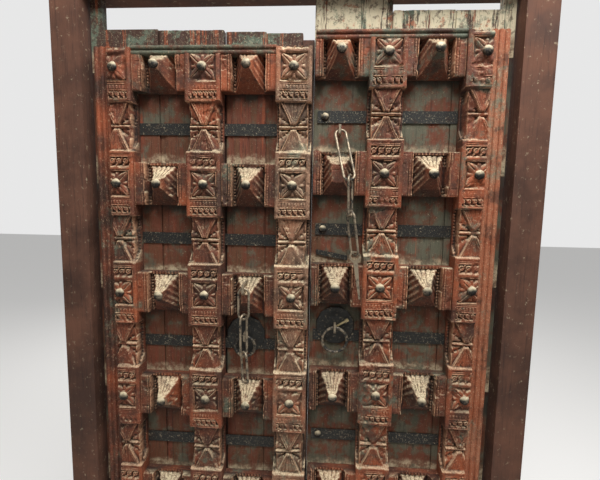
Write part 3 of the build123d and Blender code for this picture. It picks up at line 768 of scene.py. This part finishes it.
def iron_paint(name, rubbed, rust=0.25, speckled=0.3, speck_scale=130.0):
    """Forged iron: dark scale, rubbed bright in patches, with rust, pits, specks of dust, and
    dust and painted shade where the piece carries those marks."""
    c, p = colours(), Paints(name)
    patches = p.noise(60.0, 5.0, 0.65)
    pits = p.noise(420.0, 4.0, 0.6)
    colour = p.layers(
        c.iron,
        (patches, 0.62 - 0.4 * rubbed, 0.8 - 0.3 * rubbed, 1.0, c.rubbed_iron),
        (p.noise(34.0, 5.0, 0.7), 0.52, 0.7, rust, c.dark_wood))
    # Painted shade where the piece carries the mark: the lower half of each nail head.
    colour = p.blend(p.times(p.mark("pit"), 0.8), colour, c.pit)
    dusty = p.times(p.mark("dust"), p.span(patches, 0.3, 0.6, 0.4, 0.9))
    specks = p.noise(speck_scale, 6.0, 0.75)
    dusty = p.math("MAXIMUM", dusty, p.span(specks, 0.56, 0.68, 0, speckled))
    colour = p.blend(dusty, colour, c.dust)
    p.feed(p.shader.inputs["Metallic"], p.math("SUBTRACT", 0.65, dusty))
    return p.finish(colour, p.span(patches, 0.3, 0.8, 0.62, 0.42), pits, 0.4, 0.0015)


def brass_paint():
    c, p = colours(), Paints("rubbed_brass")
    spots = p.noise(240.0, 4.0, 0.6)
    colour = p.layers(c.brass, (spots, 0.4, 0.75, 0.6, c.dark_wood))
    p.shader.inputs["Metallic"].default_value = 0.8
    return p.finish(colour, p.span(spots, 0.3, 0.8, 0.3, 0.55), spots, 0.3, 0.001)


def dress(material, *nodes):
    """Gives nodes of the frame a finish of their own."""
    for node in nodes:
        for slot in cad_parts[node].material_slots:
            slot.material = material


def grid_line(low, high):
    """Evenly spaced places from low to high, about one step apart."""
    return np.linspace(low, high, max(3, round((high - low) / carving().step) + 1))


def notch_depth(leaf, up):
    """Depth of a stile's back: over the laps of the rails, over the straps, else the boards."""
    v = (up - FIRST_ROW[leaf] + ROW_PITCH / 2) % ROW_PITCH - ROW_PITCH / 2
    over_rail = abs(v) < RAIL_HALF + 0.5
    over_strap = abs(abs(v) - ROW_PITCH / 2) < STRAP_HALF + 1
    return np.where(over_rail, LAP_DEPTH, np.where(over_strap, PLATE_FRONT + 0.5, 0.0))


class DOOR_OT_carved_stiles(bpy.types.Operator):
    """Make the five carved stiles"""

    bl_idname = "door.carved_stiles"
    bl_label = "Carved stiles"

    def execute(self, context):
        finishes = {
            "left_hinge_stile": dict(orange=0.6, teal=0.2, dusty=0.6),
            "left_middle_stile": dict(orange=0.3, teal=0.15, dusty=0.75),
            "meeting_stile": dict(orange=0.6, teal=0.3, dusty=1.0, pale=0.22),
            "right_middle_stile": dict(orange=0.8, teal=0.45, dusty=0.7),
            "right_hinge_stile": dict(orange=0.75, teal=0.3, dusty=0.6),
        }
        centres = STILES["left"] + STILES["right"]
        for number, (node, finish) in enumerate(finishes.items()):
            leaf = "right" if node.startswith("right") else "left"
            low, high = node_box(node)
            foot, head = low[2], high[2]
            surface = Surface()
            if node == "meeting_stile":
                foot, head = [corner[2] for corner in node_box("left_hinge_stile")]
                edge = node_box("left_rail_2")[1][0] + 1.0
                # Dark box in the gap beside the meeting stile, coloured as painted shade.
                add_box(surface, (edge, 0.0, low[2]), (MEETING_EDGES[0], *high[1:]), pit=0.9)
            across, up = grid_line(low[0], high[0]), grid_line(foot, head)
            seed = STILE_SEED + STILE_SEED_STEP * number
            depth = stile_relief(leaf, centres[number], across, up, seed)
            add_relief(surface, across, up, depth, notch_depth(leaf, up))
            surface.make("carved_" + node, leaf + "_leaf",
                         carved_paint("paint_" + node, True, **finish), [node])
        return {"FINISHED"}


class DOOR_OT_carved_rails(bpy.types.Operator):
    """Make the twelve rails with their bosses"""

    bl_idname = "door.carved_rails"
    bl_label = "Carved rails"

    def execute(self, context):
        for leaf, first_seed in (("left", RAIL_SEED), ("right", RIGHT_RAIL_SEED)):
            for number in range(1, ROW_COUNT + 1):
                node = f"{leaf}_rail_{number}"
                low, high = node_box(node)
                across, up = grid_line(low[0], high[0]), grid_line(low[2], high[2])
                seed = first_seed + RAIL_SEED_STEP * number
                depth = rail_relief(leaf, number, across, up, seed)
                surface = Surface()
                add_relief(surface, across, up, depth, np.zeros(len(up)))
                top = number == ROW_COUNT
                paint = carved_paint("paint_" + node, False, orange=0.7 if top else 0.4,
                                     teal=0.5 if top and leaf == "right" else 0.3,
                                     dusty=0.75 if top else 1.0)
                surface.make("carved_" + node, leaf + "_leaf", paint, [node])
        return {"FINISHED"}


class DOOR_OT_mouldings(bpy.types.Operator):
    """Finish the top and edge mouldings"""

    bl_idname = "door.mouldings"
    bl_label = "Mouldings"

    def execute(self, context):
        for node, upright, *finish in (
                ("left_top_moulding", False, 0.2, 0.65, 1.0),
                ("left_edge_moulding", True, 0.5, 0.25, 1.0),
                ("right_top_moulding", False, 0.35, 0.65, 1.0),
                ("right_edge_moulding", True, 1.2, 0.25, 1.0, 0.14)):
            dress(carved_paint("paint_" + node, upright, *finish), node)
        return {"FINISHED"}


def board_depth(across, up, seed):
    """Front of a board: worn arrises, fibres drawn out along its length, and a few cracks."""
    u, z = np.meshgrid(across, up)
    edge = np.minimum(u - across[0], across[-1] - u)
    fibre = lattice_noise(u, z / 14, 7.0, seed) + 0.6 * lattice_noise(u, z / 20, 3.4, seed + 1)
    crack = 1 - ramp(abs(lattice_noise(u, z / 30, 26.0, seed + 2)), 0.0, 0.08)
    dents = ramp(rough(u, z, seed + 3), 0.3, 0.6)
    return -0.3 - 2.4 * (1 - ramp(edge, 0, 5)) - 0.7 * (fibre + 1.6) - 2.0 * crack - 1.4 * dents


class DOOR_OT_boards(bpy.types.Operator):
    """Finish the boards of both leaves"""

    bl_idname = "door.boards"
    bl_label = "Boards"

    def execute(self, context):
        for leaf, count in (("left", 4), ("right", 3)):
            ledge = node_box(leaf + "_top_moulding")[1][2] * MM
            for number in range(1, count + 1):
                name = f"{leaf}_plank_{number}"
                faded = 1.0 if leaf == "right" else 0.1
                paint = board_paint("paint_" + name, 0.37 * number, ledge,
                                    FIRST_ROW[leaf] * MM, faded)
                if number == 1:
                    dress(paint, name)
                    continue
                low, high = node_box(name)
                left = MEETING_EDGES[1] if name == "right_plank_3" else low[0]
                across = np.linspace(left, high[0], round((high[0] - left) / BOARD_STEP[0]))
                up = np.linspace(low[2], high[2], round((high[2] - low[2]) / BOARD_STEP[1]))
                surface = Surface()
                depth = board_depth(across, up, BOARD_SEED + BOARD_SEED_STEP * number)
                add_relief(surface, across, up, depth, np.full(len(up), -high[1]))
                if name == "left_plank_3":
                    beside = node_box("left_plank_2")[1][0] + 0.4
                    # Tongue filling the gap between boards, coloured as painted shade.
                    add_box(surface, (beside, TONGUE_FRONT, low[2]),
                            (left + 1.0, TONGUE_BACK, TONGUE_TOP), pit=0.8)
                surface.make("worn_" + name, leaf + "_leaf", paint, [name])
        return {"FINISHED"}


class DOOR_OT_nails(bpy.types.Operator):
    """Make the forged nails with their shanks"""

    bl_idname = "door.nails"
    bl_label = "Nails"

    def execute(self, context):
        rng = np.random.default_rng(NAIL_SEED)
        paint = iron_paint("nail_iron", 0.4, 0.4)
        for leaf in ("left", "right"):
            surface = Surface()
            heights = {row: row_height(leaf, row) for row in range(1, ROW_COUNT + 1)}
            places = [(x, BLOCK_DEPTH, z, 1.0) for x in STILES[leaf] for z in heights.values()]
            places += [(x, BOSS_TOP, z, 1.0) for x in BAYS[leaf] for row, z in heights.items()
                       if (leaf, row, x) not in (CHAIN_BOSS, WORN_BOSS)]
            if leaf == "right":
                places += [(STRAP_NAIL_X, PLATE_FRONT, heights[row] + ROW_PITCH / 2,
                            STRAP_NAIL_SIZE) for row in STRAP_NAILS]
            for x, depth, z, size in places:
                points, faces = turned(np.array(NAIL_RADII) * size, NAIL_HEIGHTS, 16)
                lumps = 1 + 0.09 * rng.uniform(-1, 1, (len(points), 1)) * (1, 0.8, 1)
                points = points * lumps + (x, NAIL_SINK - depth, z)
                # Dust on the upper half of each head, also standing for a painted highlight; the
                # lower half gets painted shade.
                lift = (points[:, 2] - z) / 14.0
                surface.add(points, faces, dust=ramp(lift, 0.0, 0.75), pit=ramp(-lift, -0.15, 0.6))
                add_box(surface, (x - SHANK_HALF, 2 - depth, z - SHANK_HALF),
                        (x + SHANK_HALF, SHANK_END, z + SHANK_HALF))
            surface.make(leaf + "_forged_nails", leaf + "_leaf", paint,
                         [leaf + "_nails"], IRON_SMOOTH)
        return {"FINISHED"}


def link_surface(top, bottom, turn):
    """Long loop of rod: two half circles joined by straight legs, as one closed path."""
    length = np.linalg.norm(top - bottom)
    up = (top - bottom) / length
    across = np.array((cos(radians(turn)), sin(radians(turn)), 0.0))
    across = across - up * across.dot(up)
    across = across / np.linalg.norm(across)
    bend = np.linspace(0, np.pi, 13)
    legs = np.linspace(0, 1, 9)[1:-1]
    angle = np.concatenate([bend, 0 * legs + np.pi, bend + np.pi, 0 * legs])
    drop = np.concatenate([0 * bend, legs, 0 * bend + 1, 1 - legs]) * (length - 2 * LINK_HALF)
    outward = np.cos(angle)[:, None] * across + np.sin(angle)[:, None] * up
    path = top + LINK_HALF * outward - (LINK_HALF + drop)[:, None] * up
    return rod_loop(path, outward, np.cross(across, up), LINK_ROD)


class DOOR_OT_chains(bpy.types.Operator):
    """Make the links of both chains"""

    bl_idname = "door.chains"
    bl_label = "Chains"

    def execute(self, context):
        paint = iron_paint("chain_iron", 0.7, 0.4)
        for leaf, (top, ends, turns) in (("left", LEFT_CHAIN), ("right", RIGHT_CHAIN)):
            start = np.array(top)
            for number, (end, turn) in enumerate(zip(ends, turns), 1):
                surface = Surface()
                surface.add(*link_surface(start, np.array(end), turn))
                surface.make(f"{leaf}_round_link_{number}", f"{leaf}_link_{number}",
                             paint, [f"{leaf}_chain_link_{number}"], IRON_SMOOTH)
                start = end + np.array((0, 0, LINK_SEAT))
        return {"FINISHED"}


class DOOR_OT_ring_handles(bpy.types.Operator):
    """Make the ring handles and their plates"""

    bl_idname = "door.ring_handles"
    bl_label = "Ring handles"

    def execute(self, context):
        ring_paint, plate_paint = iron_paint("ring_iron", 0.45), iron_paint("plate_iron", 0.05)
        for leaf, ((x, z), radius) in RINGS.items():
            angles = round_angles(48)
            outward = np.stack([np.cos(angles), 0 * angles, np.sin(angles)], axis=-1)
            path = outward * radius + (x, -RING_REACH, z - radius)
            surface = Surface()
            surface.add(*rod_loop(path, outward, np.array((0.0, 1.0, 0.0)), RING_ROD, 12))
            surface.make(leaf + "_round_ring", leaf + "_ring", ring_paint,
                         [leaf + "_ring"], IRON_SMOOTH)
            low, high = node_box(leaf + "_ring_plate")
            size = (high[0] - low[0]) / 2
            points, faces = turned(size * np.array(PLATE_RADII), PLATE_HEIGHTS, 56)
            middle = (low + high) / 2
            scallop = np.hypot(points[:, 0], points[:, 2]) > size * 0.9
            wave = 1 + np.cos(PLATE_SCALLOPS * np.arctan2(points[:, 2], points[:, 0]))
            dip = 1 - 0.018 * scallop * wave
            points = points * np.stack([dip, 1 + 0 * dip, dip], axis=-1)
            surface = Surface()
            surface.add(points + (middle[0], -PLATE_FRONT, middle[2]), faces)
            surface.make(leaf + "_round_plate", leaf + "_leaf", plate_paint,
                         [leaf + "_ring_plate"], IRON_SMOOTH)
        return {"FINISHED"}


class DOOR_OT_iron_fittings(bpy.types.Operator):
    """Finish the staples, straps, hasp, latch bar, sockets and peg"""

    bl_idname = "door.iron_fittings"
    bl_label = "Iron fittings"

    def execute(self, context):
        dress(iron_paint("strap_iron", 0.1, 0.5, 0.6, 240.0),
              "left_straps", "right_straps", "latch_bar", "pivot_sockets")
        dress(iron_paint("hasp_iron", 0.9, 0.15), "left_ring_staple", "right_ring_staple",
              "left_chain_staple", "right_chain_staple", "right_hasp")
        dress(brass_paint(), "locking_peg")
        return {"FINISHED"}


class DOOR_OT_frame_timber(bpy.types.Operator):
    """Finish the threshold, lintel, jambs and pegs"""

    bl_idname = "door.frame_timber"
    bl_label = "Frame"

    def execute(self, context):
        dress(frame_paint("level_timber", False), "threshold", "lintel", "frame_pegs")
        dress(frame_paint("upright_timber", True), "left_jamb", "right_jamb")
        return {"FINISHED"}


def stage_camera():
    """Camera at the photograph's place: turned about the vertical, tipped down, then rolled."""
    yaw, pitch, roll = radians(CAMERA_YAW), radians(CAMERA_PITCH), radians(CAMERA_ROLL)
    flat, side = Vector((-sin(yaw), cos(yaw), 0)), Vector((cos(yaw), sin(yaw), 0))
    ahead = flat * cos(pitch) + Vector((0, 0, -sin(pitch)))
    above = flat * sin(pitch) + Vector((0, 0, cos(pitch)))
    right = side * cos(roll) + above * sin(roll)
    up = above * cos(roll) - side * sin(roll)
    data = bpy.data.cameras.new("photo_camera")
    data.lens = CAMERA_LENS
    data.sensor_width = 36.0
    data.clip_start = 0.01
    camera = linked("photo_camera", data)
    turn = Matrix((right, up, -ahead)).transposed().to_4x4()
    camera.matrix_world = Matrix.Translation(CAMERA_PLACE) @ turn
    bpy.context.scene.camera = camera


def stage_lamp(name, place, aim, size, power):
    data = bpy.data.lights.new(name, "AREA")
    data.shape = "RECTANGLE"
    data.size, data.size_y = size
    data.energy = power
    lamp = linked(name, data)
    lamp.location = place
    lamp.rotation_euler = (Vector(aim) - Vector(place)).to_track_quat("-Z", "Y").to_euler()


class DOOR_OT_stage(bpy.types.Operator):
    """Make the floor, the lamps, the pale surround and the camera"""

    bl_idname = "door.stage"
    bl_label = "Stage"

    def execute(self, context):
        settings = context.scene.door_stage
        corners = ((-1, -1), (1, -1), (1, 1), (-1, 1))
        mesh = bpy.data.meshes.new("floor")
        mesh.from_pydata([(x * FLOOR_HALF, y * FLOOR_HALF, 0) for x, y in corners], [],
                         [(0, 1, 2, 3)])
        plain = Paints("floor_plain")
        sight = plain.node("LightPath").outputs["Is Camera Ray"]
        glow = plain.math("MULTIPLY", sight, settings.floor_glow, False)
        for socket, value in (("Base Color", settings.floor), ("Roughness", 0.9),
                              ("Emission Color", (1.0, 1.0, 1.0)), ("Emission Strength", glow)):
            plain.feed(plain.shader.inputs[socket], value)
        mesh.materials.append(plain.material)
        linked("floor", mesh)
        world = bpy.data.worlds.new("surround")
        context.scene.world = world
        world.use_nodes = True
        nodes, links = world.node_tree.nodes, world.node_tree.links
        nodes.clear()
        rays, seen, soft, pale, mix, out = [nodes.new("ShaderNode" + kind) for kind in (
            "LightPath", "Math", "Background", "Background", "MixShader", "OutputWorld")]
        seen.operation = "MAXIMUM"
        soft.inputs["Strength"].default_value = settings.fill
        for source, target in (
                (rays.outputs["Is Camera Ray"], seen.inputs[0]),
                (rays.outputs["Is Transmission Ray"], seen.inputs[1]),
                (seen.outputs[0], mix.inputs["Fac"]), (soft.outputs[0], mix.inputs[1]),
                (pale.outputs[0], mix.inputs[2]), (mix.outputs[0], out.inputs["Surface"])):
            links.new(source, target)
        stage_lamp("key_lamp", *KEY_LAMP, settings.key)
        stage_lamp("back_lamp", *BACK_LAMP, settings.key * BACK_LAMP_SHARE)
        context.scene.view_settings.view_transform = "Standard"
        stage_camera()
        return {"FINISHED"}


class DOOR_PT_panel(bpy.types.Panel):
    """Buttons for every group of pieces"""

    bl_idname = "DOOR_PT_panel"
    bl_label = "Carved temple door"
    bl_space_type = "VIEW_3D"
    bl_region_type = "UI"
    bl_category = "Door"

    def draw(self, context):
        for operator in OPERATORS:
            self.layout.operator(operator.bl_idname)
        for group in ("door_carving", "door_colours", "door_stage"):
            settings = getattr(context.scene, group)
            for name in settings.bl_rna.properties.keys():
                if name not in ("name", "rna_type"):
                    self.layout.prop(settings, name)


OPERATORS = (
    DOOR_OT_stage,
    DOOR_OT_frame_timber,
    DOOR_OT_boards,
    DOOR_OT_mouldings,
    DOOR_OT_carved_rails,
    DOOR_OT_carved_stiles,
    DOOR_OT_nails,
    DOOR_OT_ring_handles,
    DOOR_OT_chains,
    DOOR_OT_iron_fittings,
)
SETTINGS = {
    "door_carving": DoorCarvingSettings,
    "door_colours": DoorColourSettings,
    "door_stage": DoorStageSettings,
}


def register():
    for group in SETTINGS.values():
        bpy.utils.register_class(group)
    for name, group in SETTINGS.items():
        setattr(bpy.types.Scene, name, bpy.props.PointerProperty(type=group))
    for operator in OPERATORS:
        bpy.utils.register_class(operator)
    bpy.utils.register_class(DOOR_PT_panel)


def unregister():
    bpy.utils.unregister_class(DOOR_PT_panel)
    for operator in reversed(OPERATORS):
        bpy.utils.unregister_class(operator)
    for name, group in SETTINGS.items():
        delattr(bpy.types.Scene, name)
        bpy.utils.unregister_class(group)


def main():
    register()
    for operator in OPERATORS:
        group, name = operator.bl_idname.split(".")
        getattr(getattr(bpy.ops, group), name)()


if __name__ == "__main__":
    main()
